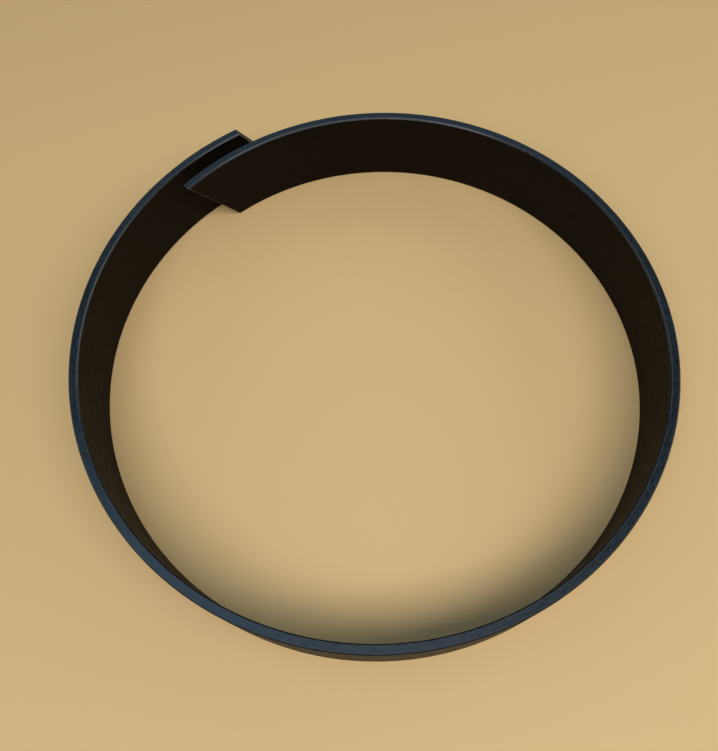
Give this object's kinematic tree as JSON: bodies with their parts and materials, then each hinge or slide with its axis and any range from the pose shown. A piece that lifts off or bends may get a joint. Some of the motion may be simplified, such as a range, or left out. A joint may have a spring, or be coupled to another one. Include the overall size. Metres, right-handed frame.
{
  "type": "split guide ring",
  "caption": "Split plastic guide ring: a flat strip with bevelled edges and angle-cut ends, curled just past one turn so the ends overlap.",
  "frame": {"origin": "middle of the ring's footprint, on its lower edge", "axes": "+Z along the ring's axis, +Y towards the split, +X towards the inner arm"},
  "size_m": [0.1902, 0.1944, 0.03],
  "materials": {
    "strip": "matt moulded strip, near black"
  },
  "bodies": {
    "outer_arm_tip": {"outer_arm_tip": "strip"},
    "outer_arm_middle": {"outer_arm_middle": "strip"},
    "outer_arm_root": {"outer_arm_root": "strip"},
    "back_arc": {"back_arc": "strip"},
    "inner_arm_root": {"inner_arm_root": "strip"},
    "inner_arm_middle": {"inner_arm_middle": "strip"},
    "inner_arm_tip": {"inner_arm_tip": "strip"}
  },
  "joints": [
    {"name": "outer_flex_root", "type": "hinge", "parent": "back_arc", "child": "outer_arm_root", "pos_m": [-0.04615, -0.08314, 0.015], "axis": [0, 0, 1], "range_deg": [-1.3, 4.5], "stiffness_Nm_per_rad": 1.85},
    {"name": "outer_flex_middle", "type": "hinge", "parent": "outer_arm_root", "child": "outer_arm_middle", "pos_m": [-0.09214, -0.01746, 0.015], "axis": [0, 0, 1], "range_deg": [-1.33, 4.59], "stiffness_Nm_per_rad": 2.01},
    {"name": "outer_flex_tip", "type": "hinge", "parent": "outer_arm_middle", "child": "outer_arm_tip", "pos_m": [-0.07114, 0.06094, 0.015], "axis": [0, 0, 1], "range_deg": [-1.33, 4.59], "stiffness_Nm_per_rad": 1.84},
    {"name": "inner_flex_root", "type": "hinge", "parent": "back_arc", "child": "inner_arm_root", "pos_m": [0.04745, -0.08314, 0.015], "axis": [0, 0, -1], "range_deg": [-1.33, 4.59], "stiffness_Nm_per_rad": 1.9},
    {"name": "inner_flex_middle", "type": "hinge", "parent": "inner_arm_root", "child": "inner_arm_middle", "pos_m": [0.09222, -0.01921, 0.015], "axis": [0, 0, -1], "range_deg": [-1.33, 4.59], "stiffness_Nm_per_rad": 2.12},
    {"name": "inner_flex_tip", "type": "hinge", "parent": "inner_arm_middle", "child": "inner_arm_tip", "pos_m": [0.07227, 0.05523, 0.015], "axis": [0, 0, -1], "range_deg": [-1.33, 4.59], "stiffness_Nm_per_rad": 1.99}
  ],
  "couplings": [
    {"joint": "outer_flex_middle", "follows": "outer_flex_root", "ratio": 1},
    {"joint": "outer_flex_tip", "follows": "outer_flex_root", "ratio": 1},
    {"joint": "inner_flex_root", "follows": "outer_flex_root", "ratio": 1},
    {"joint": "inner_flex_middle", "follows": "outer_flex_root", "ratio": 1},
    {"joint": "inner_flex_tip", "follows": "outer_flex_root", "ratio": 1}
  ]
}
